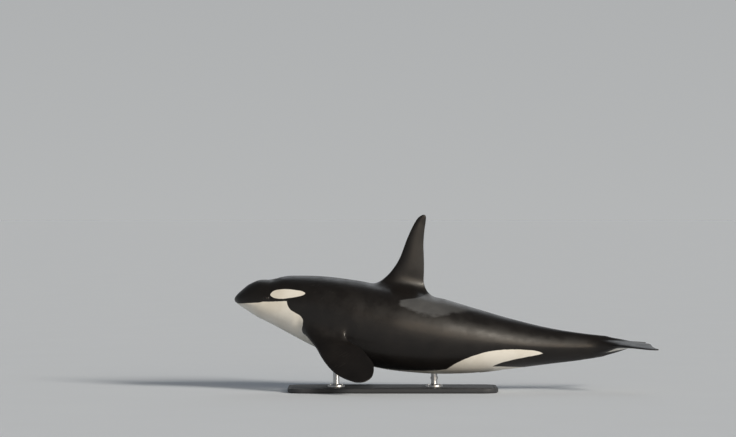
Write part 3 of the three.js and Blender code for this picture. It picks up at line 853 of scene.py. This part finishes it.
def make_skin():
    piece = make_cage()
    grow_blade(piece, dorsal_blade(), BACK, FIN_PATCH)
    for centre, mirrored in ((LEFT - FLIPPER_COLUMN, False), (RIGHT + FLIPPER_COLUMN, True)):
        grow_blade(piece, flipper_blade(), centre % COLUMNS, FLIPPER_PATCH, mirrored)
    fluke = fluke_blade()
    for centre, mirrored in ((LEFT, False), (RIGHT, True)):
        grow_blade(piece, fluke, centre, FLUKE_PATCH, mirrored)
    for side in (-1, 1):
        let_in_eye(piece, side)
    let_in_blowhole(piece)
    let_in_vent(piece)
    fit_to_form(piece)
    smooth_levels(piece, 2)
    apply_modifiers(piece)
    start_editing(piece)
    face_outwards()
    stop_editing()
    bpy.ops.object.shade_smooth()
    places = [straightened(vertex.co) for vertex in piece.data.vertices]
    keep_for_points(piece, "straight", [share for place in places for share in place], "FLOAT_VECTOR")
    keep_for_points(piece, "fluke_inset", [fluke_inset(vertex.co, fluke) for vertex in piece.data.vertices])
    keep_for_points(piece, "off_body", [off_body_by(place) for place in places])
    piece.data.materials.append(skin_paint())
    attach(piece, "root")
    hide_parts("head", "lower_jaw", "chest", "torso", "tail_stock", "dorsal_fin")
    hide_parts("flipper_left", "flipper_right", "fluke_left", "fluke_right")
    return piece


def fluke_inset(point, fluke):
    """How far inside a fluke's edges a point lies, in metres; below nothing off the flukes."""
    share = abs(point.y) / FLUKE_HALF_SPAN
    along = (point - posed((FLUKE_STATION, 0, 0))).dot(back_direction(FLUKE_PITCH_STATION)) / BODY_LENGTH
    if along < FLUKE_OUTLINE[0][1]:
        return -1
    from_edges = min(along - fluke.leading_at(share), fluke.trailing_at(share) - along) * BODY_LENGTH
    return min(from_edges, (1 - share) * FLUKE_HALF_SPAN, (share - 0.05) * FLUKE_HALF_SPAN)


def off_body_by(straight):
    """How far a point stands out of the body without its fins, in metres, roughly."""
    station, height, out = straight
    station = min(max(station, 0.002), BODY_END)
    growth = fullness(station, height, out) ** (1 / squareness_at(station))
    return (growth - 1) * half_width_at(station) * BODY_LENGTH


# Paints

class Paint:
    """A material in the making, with short calls for its nodes."""

    def __init__(self, name):
        self.material = bpy.data.materials.new(name)
        self.material.use_nodes = True
        self.tree = self.material.node_tree
        self.shader = self.tree.nodes["Principled BSDF"]

    def feed(self, socket, value):
        if isinstance(value, bpy.types.NodeSocket):
            self.tree.links.new(value, socket)
        else:
            socket.default_value = value

    def node(self, kind, inputs=None, **settings):
        node = self.tree.nodes.new("ShaderNode" + kind)
        for name, value in settings.items():
            setattr(node, name, value)
        for name, value in (inputs or {}).items():
            self.feed(node.inputs[name], value)
        return node

    def maths(self, operation, *values):
        node = self.node("Math", operation=operation)
        for index, value in enumerate(values):
            self.feed(node.inputs[index], value)
        return node.outputs[0]

    def plus(self, one, two):
        return self.maths("ADD", one, two)

    def minus(self, one, two):
        return self.maths("SUBTRACT", one, two)

    def times(self, one, two):
        return self.maths("MULTIPLY", one, two)

    def least(self, *values):
        return reduce(lambda one, two: self.maths("MINIMUM", one, two), values)

    def most(self, *values):
        return reduce(lambda one, two: self.maths("MAXIMUM", one, two), values)

    def ramp(self, value, low, high, start=0.0, end=1.0, kind="SMOOTHSTEP"):
        inputs = {"Value": value, "From Min": low, "From Max": high, "To Min": start, "To Max": end}
        return self.node("MapRange", inputs, interpolation_type=kind).outputs[0]

    def curve(self, value, points):
        """A smooth curve through (x, y) points, held level beyond its ends."""
        xs = [x for x, _ in points]
        ys = [y for _, y in points]
        low, high = min(ys), max(ys)
        share = self.ramp(value, xs[0], xs[-1], kind="LINEAR")
        node = self.node("FloatCurve", {"Value": share})
        line = node.mapping.curves[0]
        places = [((x - xs[0]) / (xs[-1] - xs[0]), (y - low) / (high - low)) for x, y in points]
        line.points[0].location = places[0]
        line.points[1].location = places[-1]
        for place in places[1:-1]:
            line.points.new(*place)
        node.mapping.update()
        return self.ramp(node.outputs[0], 0, 1, low, high, "LINEAR")

    def blend(self, share, one, two):
        node = self.node("Mix", data_type="RGBA")
        self.feed(node.inputs[0], share)
        for name, value in (("A_Color", one), ("B_Color", two)):
            self.feed(next(socket for socket in node.inputs if socket.identifier == name), value)
        return next(socket for socket in node.outputs if socket.identifier == "Result_Color")

    def noise(self, coords, scale, detail=3.0, roughness=0.5, distortion=0.0):
        inputs = {"Vector": coords, "Scale": scale, "Detail": detail, "Roughness": roughness}
        return self.node("TexNoise", {**inputs, "Distortion": distortion}).outputs["Fac"]

    def stretched(self, coords, scale, turn=(0, 0, 0)):
        inputs = {"Vector": coords, "Scale": scale, "Rotation": turn}
        return self.node("Mapping", inputs).outputs["Vector"]

    def object_coords(self):
        return self.node("TexCoord").outputs["Object"]

    def attribute(self, name, output="Fac"):
        return self.node("Attribute", attribute_name=name, attribute_type="GEOMETRY").outputs[output]

    def split(self, vector):
        """The x, y and z of a vector."""
        return self.node("SeparateXYZ", {"Vector": vector}).outputs

    def bump(self, height, distance, strength=1.0, normal=None):
        inputs = {"Height": height, "Distance": distance, "Strength": strength}
        if normal is not None:
            inputs["Normal"] = normal
        return self.node("Bump", inputs).outputs["Normal"]

    def finish(self, **sockets):
        for name, value in sockets.items():
            self.feed(self.shader.inputs[name.replace("_", " ")], value)
        return self.material


# The markings, in shares of the body's length: stations, heights off the axis and distances out.
CHIN_TOP = [
    (0, -0.0088), (0.0125, -0.0084), (0.037, -0.0049), (0.06, -0.0012), (0.0715, 0.0019), (0.097, 0.0054),
    (0.115, 0.0083), (0.1285, 0.0105), (0.14, 0.0115)
]
CHIN_REAR = [
    (-0.1, 0.245), (-0.08, 0.224), (-0.068, 0.198), (-0.058, 0.180), (-0.047, 0.1735), (-0.0255, 0.1715),
    (-0.0137, 0.151), (-0.0096, 0.1415), (0.0004, 0.132), (0.0098, 0.1285), (0.013, 0.127)
]
BELLY_BAND = [
    (0.15, 0.09), (0.19, 0.062), (0.215, 0.041), (0.24, 0.028), (0.28, 0.022), (0.34, 0.024),
    (0.42, 0.031), (0.5, 0.04), (0.56, 0.046), (0.6, 0.044), (0.64, 0.034), (0.68, 0.021), (0.71, 0.009),
    (0.73, -0.003)
]
FLANK_TOP = [
    (0.5, -0.105), (0.53, -0.086), (0.56, -0.06), (0.6, -0.036), (0.64, -0.021), (0.68, -0.014),
    (0.72, -0.012), (0.745, -0.0135), (0.762, -0.0195)
]
FLANK_FOOT = [
    (0.5, -0.125), (0.61, -0.105), (0.63, -0.072), (0.655, -0.052), (0.69, -0.038), (0.72, -0.029),
    (0.745, -0.0225), (0.762, -0.0165)
]
PATCH_TOP = [
    (0.0868, 0.019), (0.0875, 0.0228), (0.09, 0.0272), (0.0954, 0.0316), (0.1068, 0.0355),
    (0.125, 0.0389), (0.142, 0.0398), (0.158, 0.0396), (0.1652, 0.0379), (0.1692, 0.0342)
]
PATCH_FOOT = [
    (0.0868, 0.022), (0.0881, 0.0188), (0.0914, 0.0164), (0.0977, 0.0144), (0.1045, 0.0136),
    (0.111, 0.0138), (0.132, 0.0186), (0.152, 0.0249), (0.1635, 0.0298), (0.1678, 0.0332),
    (0.1692, 0.0362)
]
SADDLE_FOOT = [
    (0.38, 0.066), (0.395, 0.052), (0.42, 0.042), (0.46, 0.037), (0.5, 0.042), (0.54, 0.055),
    (0.58, 0.066), (0.62, 0.074)
]
SADDLE_FRONT = [
    (0.036, 0.43), (0.045, 0.402), (0.056, 0.392), (0.066, 0.402), (0.076, 0.432), (0.092, 0.462)
]
EDGE_SOFTNESS = 0.0006


def skin_paint():
    paint = Paint("wet_skin")
    station, height, out = paint.split(paint.attribute("straight", "Vector"))
    coords = paint.object_coords()
    wander = paint.minus(paint.noise(coords, 9.0, 4.0), 0.5)
    ragged = paint.times(wander, 0.0022)
    side = paint.maths("ABSOLUTE", out)

    chin = paint.least(
        paint.minus(paint.curve(station, CHIN_TOP), height),
        paint.times(paint.minus(paint.curve(height, CHIN_REAR), station), 0.75),
    )
    belly = paint.least(
        paint.minus(paint.curve(station, BELLY_BAND), side),
        paint.minus(-0.03, height),
    )
    flank = paint.least(
        paint.minus(paint.curve(station, FLANK_TOP), height),
        paint.minus(height, paint.curve(station, FLANK_FOOT)),
        paint.minus(station, 0.5),
    )
    patch = paint.least(
        paint.minus(paint.curve(station, PATCH_TOP), height),
        paint.minus(height, paint.curve(station, PATCH_FOOT)),
    )
    below = paint.maths("SMOOTH_MAX", chin, belly, 0.012)
    edge = paint.plus(paint.most(below, flank, patch), ragged)
    white = paint.ramp(edge, -EDGE_SOFTNESS, EDGE_SOFTNESS)
    off_body = paint.plus(paint.attribute("off_body"), paint.times(wander, 0.01))
    white = paint.times(white, paint.ramp(off_body, 0.020, 0.028, 1.0, 0.0))

    facing_up = paint.split(paint.node("NewGeometry").outputs["Normal"])["Z"]
    inset = paint.plus(paint.attribute("fluke_inset"), paint.times(wander, 0.05))
    under = paint.times(paint.ramp(inset, 0.03, 0.055), paint.ramp(facing_up, -0.1, -0.35))
    white = paint.most(white, under)

    smoky = paint.minus(paint.noise(paint.stretched(coords, (3, 3, 7)), 1.0, 5.0, 0.6), 0.5)
    saddle = paint.least(
        paint.minus(height, paint.curve(station, SADDLE_FOOT)),
        paint.minus(station, paint.curve(height, SADDLE_FRONT)),
        paint.minus(0.61, station),
    )
    saddle = paint.ramp(paint.plus(saddle, paint.times(smoky, 0.03)), -0.001, 0.009)
    saddle = paint.times(saddle, paint.ramp(station, 0.47, 0.62, 1.0, 0.35))

    tone = paint.noise(coords, 2.3, 5.0, 0.6)
    black = paint.blend(tone, (0.0034, 0.0030, 0.0030, 1), (0.0105, 0.0084, 0.0072, 1))
    grey = paint.blend(smoky, (0.060, 0.061, 0.063, 1), (0.125, 0.124, 0.122, 1))
    pale = paint.blend(paint.ramp(tone, 0.35, 0.7), (0.72, 0.695, 0.635, 1), (0.63, 0.595, 0.525, 1))
    colour = paint.blend(saddle, black, grey)

    turned_coords = paint.stretched(coords, (1, 1, 1), (0, 0.5, 0.3))
    inputs = {"Vector": turned_coords, "Scale": 9.0, "Distortion": 1.6, "Detail": 1.0}
    lines = paint.node("TexWave", inputs, bands_direction="Z").outputs["Fac"]
    places = paint.ramp(paint.noise(coords, 1.7, 2.0), 0.62, 0.7)
    broken = paint.ramp(paint.noise(paint.stretched(coords, (2, 2, 9)), 2.0, 2.0), 0.5, 0.62)
    rakes = paint.times(paint.ramp(lines, 0.965, 0.995), paint.times(places, broken))
    colour = paint.blend(paint.times(rakes, 0.5), colour, (0.040, 0.038, 0.036, 1))
    colour = paint.blend(white, colour, pale)

    swell = paint.noise(coords, 2.2, 3.0)
    grain = paint.noise(coords, 38.0, 4.0, 0.6)
    normal = paint.bump(swell, 0.012, 0.35)
    normal = paint.bump(grain, 0.0010, 0.35, normal)
    normal = paint.bump(rakes, -0.0012, 0.6, normal)
    rough = paint.ramp(paint.noise(coords, 5.0, 4.0, 0.65), 0.3, 0.7, 0.32, 0.48)
    paint.finish(Base_Color=colour, Roughness=rough, Normal=normal, IOR=1.36)
    paint.finish(Coat_Weight=0.25, Coat_Roughness=0.18, Coat_IOR=1.33)
    return paint.material


def make_eye(side, paint):
    """An eyeball whose cornea swells a little between the lids."""
    surface, behind, above, outward = eye_frame(side)
    centre = surface - outward * EYE_SUNK
    name = "eyeball_left" if side < 0 else "eyeball_right"
    add = bpy.ops.mesh.primitive_uv_sphere_add
    piece = start_piece(name, add, segments=48, ring_count=32, radius=EYE_RADIUS)
    start_editing(piece, "VERT")
    bpy.ops.mesh.select_all(action="SELECT")
    bpy.ops.transform.translate(value=centre)
    stop_editing()
    offsets = []
    for vertex in piece.data.vertices:
        offset = vertex.co - centre
        place = Vector((offset.dot(behind), offset.dot(above), offset.dot(outward)))
        off_axis = math.hypot(place.x, place.y)
        if place.z > 0 and off_axis < CORNEA_RADIUS:
            vertex.co += outward * CORNEA_SWELL * (1 - (off_axis / CORNEA_RADIUS) ** 2) ** 2
        offsets += list(place)
    keep_for_points(piece, "gaze", offsets, "FLOAT_VECTOR")
    pick(piece)
    bpy.ops.object.shade_smooth()
    piece.data.materials.append(paint)
    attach(piece, "root")
    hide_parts("eye_left" if side < 0 else "eye_right")


def eye_paint():
    """A dark brown iris round a wide pupil, with a blue-grey rim and a little red-brown white."""
    paint = Paint("eye")
    along, up, _ = paint.split(paint.attribute("gaze", "Vector"))

    def reach(rise):
        squares = [paint.maths("POWER", value, 2.0) for value in (along, rise)]
        return paint.maths("SQRT", paint.plus(*squares))

    off_axis, pupil_reach = reach(up), reach(paint.times(up, 1.35))
    angle = paint.maths("ARCTAN2", up, along)
    spokes = paint.noise(paint.node("CombineXYZ", {"X": angle, "Y": off_axis}).outputs[0], 9.0, 3.0)
    iris = paint.blend(spokes, (0.005, 0.0025, 0.002, 1), (0.020, 0.009, 0.005, 1))
    mottle = paint.noise(paint.object_coords(), 60.0)
    white = paint.blend(mottle, (0.020, 0.013, 0.011, 1), (0.011, 0.007, 0.006, 1))
    colour = paint.blend(paint.ramp(off_axis, 0.0125, 0.0145), iris, (0.008, 0.010, 0.014, 1))
    colour = paint.blend(paint.ramp(off_axis, 0.0150, 0.0175), colour, white)
    colour = paint.blend(paint.ramp(pupil_reach, 0.0066, 0.0058), colour, (0.002, 0.002, 0.003, 1))
    paint.finish(Base_Color=colour, Roughness=0.12, IOR=1.38, Coat_Weight=0.6, Coat_Roughness=0.03)
    return paint.material


# The stand

def turned(name, centre, profile, corners=96):
    """A round body about an upright line, extruded ring by ring through (radius, height) pairs."""
    radius, height = profile[0]
    add = bpy.ops.mesh.primitive_circle_add
    piece = start_piece(name, add, vertices=corners, radius=radius, fill_type="NGON")
    start_editing(piece)
    bpy.ops.mesh.select_all(action="SELECT")
    bpy.ops.transform.translate(value=(centre[0], centre[1], height))
    for radius, height in profile[1:]:
        extrude(0.001)
        cage = cage_of(piece)
        for vertex in cage.verts:
            if vertex.select:
                offset = Vector((vertex.co.x - centre[0], vertex.co.y - centre[1], 0)).normalized() * radius
                vertex.co = Vector((centre[0] + offset.x, centre[1] + offset.y, height))
        bmesh.update_edit_mesh(piece.data)
    face_outwards()
    stop_editing()
    return piece


def finish_hard(piece, paint, edge=0.0):
    """Breaks the edges, and gives the piece its paint and slot."""
    if edge:
        bevel = piece.modifiers.new("edges", "BEVEL")
        bevel.width = edge
        bevel.segments = 2
        bevel.limit_method = "ANGLE"
        apply_modifiers(piece)
    pick(piece)
    bpy.ops.object.shade_smooth_by_angle(angle=math.radians(35))
    piece.data.materials.append(paint)
    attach(piece, "root")


def make_plinth(paint):
    """A flat base with round corners, a foot set back at the floor and a groove let in round its top."""
    low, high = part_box("stand_base")
    piece = start_piece("plinth", bpy.ops.mesh.primitive_cube_add, size=1)
    foot = FOOT_HEIGHT
    start_editing(piece, "EDGE")
    for vertex in cage_of(piece).verts:
        share = vertex.co + Vector((0.5, 0.5, 0.5))
        vertex.co = Vector((low.x + (high.x - low.x) * share.x, low.y + (high.y - low.y) * share.y,
                            foot + (high.z - foot) * share.z))
    choose(piece, "edges", lambda edge: abs(edge.verts[0].co.z - edge.verts[1].co.z) > foot)
    bpy.ops.mesh.bevel(offset=BASE_CORNER, segments=20, affect="EDGES")
    bpy.ops.mesh.select_mode(type="FACE")
    choose(piece, "faces", lambda face: face.normal.z < -0.9)
    bpy.ops.mesh.inset(thickness=FOOT_SETBACK)
    extrude(-foot)
    choose(piece, "faces", lambda face: face.normal.z > 0.9)
    bpy.ops.mesh.inset(thickness=GROOVE_SETBACK)
    bpy.ops.mesh.inset(thickness=GROOVE_WALL, depth=-GROOVE_DEPTH)
    bpy.ops.mesh.inset(thickness=GROOVE_WIDTH)
    bpy.ops.mesh.inset(thickness=GROOVE_WALL, depth=GROOVE_DEPTH)
    stop_editing()
    finish_hard(piece, paint, 0.006)
    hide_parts("stand_base")


def make_rod(node, paint):
    """An upright tube on a flange, with a collar under the belly."""
    low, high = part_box(node)
    centre = (low + high) / 2
    foot, top = low.z, high.z + 0.004
    collar = top - COLLAR_DROP
    profile = [
        (FLANGE_RADIUS, foot), (FLANGE_RADIUS, foot + 0.021), (FLANGE_RADIUS - 0.002, foot + 0.0262),
        (FLANGE_RADIUS - 0.007, foot + FLANGE_HEIGHT), (0.082, foot + FLANGE_HEIGHT), (0.070, foot + 0.031),
        (0.060, foot + 0.038), (0.053, foot + 0.048), (ROD_RADIUS, foot + 0.06), (ROD_RADIUS, collar - 0.02),
        (0.058, collar - 0.018), (0.061, collar - 0.015), (0.061, collar + 0.015), (0.058, collar + 0.018),
        (ROD_RADIUS, collar + 0.02), (ROD_RADIUS, top)]
    piece = turned(node.replace("stand_", ""), centre, profile)
    distances = [math.hypot(v.co.x - centre.x, v.co.y - centre.y) for v in piece.data.vertices]
    keep_for_points(piece, "axis_distance", distances)
    finish_hard(piece, paint)
    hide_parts(node)
    return centre, foot + FLANGE_HEIGHT


def make_bolt(paint):
    """A hexagon head over a washer, at the middle of the scene."""
    washer = turned("washer", (0, 0), [(0.021, 0), (0.021, 0.0024), (0.0203, 0.003), (0.008, 0.003)], 32)
    head = turned("bolt", (0, 0), [(0.0155, 0.003), (0.0155, 0.0125), (0.0135, 0.0143), (0.006, 0.0143)], 6)
    pick(head)
    washer.select_set(True)
    bpy.ops.object.join()
    finish_hard(head, paint, 0.0006)
    return head


def set_bolts(bolt, flanges):
    """Sets a ring of copies of the bolt on each flange."""
    for number, (centre, height) in enumerate(flanges):
        for step in range(BOLTS_ROUND):
            copy = bolt.copy()
            copy.data = bolt.data.copy()
            copy.name = f"bolt_{number}_{step}"
            bpy.context.scene.collection.objects.link(copy)
            turn = math.tau * (step + 0.5) / BOLTS_ROUND
            out = Vector((math.cos(turn), math.sin(turn), 0)) * BOLT_CIRCLE
            place = Vector((centre.x, centre.y, height)) + out
            copy.data.transform(Matrix.Translation(place) @ Matrix.Rotation(turn * 1.7, 4, "Z"))
            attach(copy, "root")
    bpy.data.objects.remove(bolt)


def plinth_paint():
    """Satin dark grey paint with a faint orange peel and worn, duller places."""
    paint = Paint("satin_paint")
    coords = paint.object_coords()
    worn = paint.noise(coords, 2.2, 5.0, 0.65)
    colour = paint.blend(paint.ramp(worn, 0.35, 0.7), (0.030, 0.032, 0.036, 1), (0.036, 0.038, 0.042, 1))
    peel = paint.bump(paint.noise(coords, 320.0, 2.0), 0.0003, 0.25)
    rough = paint.ramp(paint.noise(coords, 6.0, 5.0, 0.7), 0.3, 0.7, 0.55, 0.62)
    return paint.finish(Base_Color=colour, Roughness=rough, Normal=peel, Specular_IOR_Level=0.35)


def rod_paint():
    """Steel with fine turning marks round it."""
    paint = Paint("brushed_steel")
    lathe = {"X": paint.attribute("axis_distance"), "Y": paint.split(paint.object_coords())["Z"]}
    marks = paint.noise(paint.node("CombineXYZ", lathe).outputs[0], 900.0, 3.0, 0.7)
    tone = paint.noise(paint.object_coords(), 8.0, 4.0)
    colour = paint.blend(tone, (0.44, 0.45, 0.46, 1), (0.56, 0.565, 0.57, 1))
    rough = paint.ramp(marks, 0.3, 0.7, 0.26, 0.42)
    normal = paint.bump(marks, 0.00015, 0.5)
    return paint.finish(Base_Color=colour, Roughness=rough, Normal=normal, Metallic=1.0)


# Light and camera

def sunlight(name, towards, energy, width, colour):
    """Even light from one side of the sky, as wide as the angle says."""
    lamp = bpy.data.lights.new(name, "SUN")
    lamp.energy = energy
    lamp.angle = math.radians(width)
    lamp.color = colour
    holder = bpy.data.objects.new(name, lamp)
    bpy.context.scene.collection.objects.link(holder)
    holder.rotation_euler = Vector(towards).to_track_quat("Z", "Y").to_euler()


def make_sky():
    """Pale round the horizon and darker overhead, so that wet black skin stays deep."""
    world = bpy.data.worlds.new("studio")
    world.use_nodes = True
    nodes, links = world.node_tree.nodes, world.node_tree.links
    height = nodes.new("ShaderNodeSeparateXYZ")
    links.new(nodes.new("ShaderNodeTexCoord").outputs["Generated"], height.inputs[0])
    tones = nodes.new("ShaderNodeValToRGB")
    links.new(height.outputs["Z"], tones.inputs["Fac"])
    steps = tones.color_ramp.elements
    steps[0].position, steps[0].color = 0, (0.459, 0.4685, 0.472, 1)
    steps[1].position, steps[1].color = 1, (0.09, 0.10, 0.11, 1)
    steps.new(0.07).color = (0.43, 0.44, 0.445, 1)
    steps.new(0.2).color = (0.30, 0.31, 0.315, 1)
    steps.new(0.45).color = (0.16, 0.17, 0.18, 1)
    links.new(tones.outputs["Color"], nodes["Background"].inputs["Color"])
    bpy.context.scene.world = world


def make_studio():
    """A wide pale floor that meets a pale sky, in a low warm light with a soft one from behind."""
    add = bpy.ops.mesh.primitive_circle_add
    floor = start_piece("floor", add, vertices=96, radius=3000, fill_type="NGON")
    paint = Paint("floor")
    tone = paint.noise(paint.object_coords(), 0.6, 3.0)
    colour = paint.blend(tone, (0.729, 0.776, 0.844, 1), (0.749, 0.799, 0.868, 1))
    floor.data.materials.append(paint.finish(Base_Color=colour, Roughness=0.9, Specular_IOR_Level=0.0))
    make_sky()
    sunlight("low_sun", (0.70, -0.72, 0.42), 3.2, 16, (1, 0.92, 0.80))
    sunlight("warm_glow", (0.35, -0.90, 0.22), 0.45, 24, (1, 0.80, 0.60))
    sunlight("back_light", (0.15, 0.80, 0.60), 0.25, 40, (0.92, 0.96, 1))
    bpy.context.scene.view_settings.view_transform = "Standard"


def make_camera():
    data = bpy.data.cameras.new("camera")
    data.lens = 150
    data.sensor_width = 36
    data.clip_end = 2000
    camera = bpy.data.objects.new("camera", data)
    bpy.context.scene.collection.objects.link(camera)
    camera.location = (-0.391, -48.5, 2.770)
    camera.rotation_euler = (math.radians(90 - 0.047), 0, 0)
    bpy.context.scene.camera = camera


make_camera()
make_studio()
make_skin()
eye_finish = eye_paint()
for eye_side in (-1, 1):
    make_eye(eye_side, eye_finish)
make_plinth(plinth_paint())
steel = rod_paint()
flanges = [make_rod(node, steel) for node in ("stand_rod_front", "stand_rod_rear")]
set_bolts(make_bolt(steel), flanges)
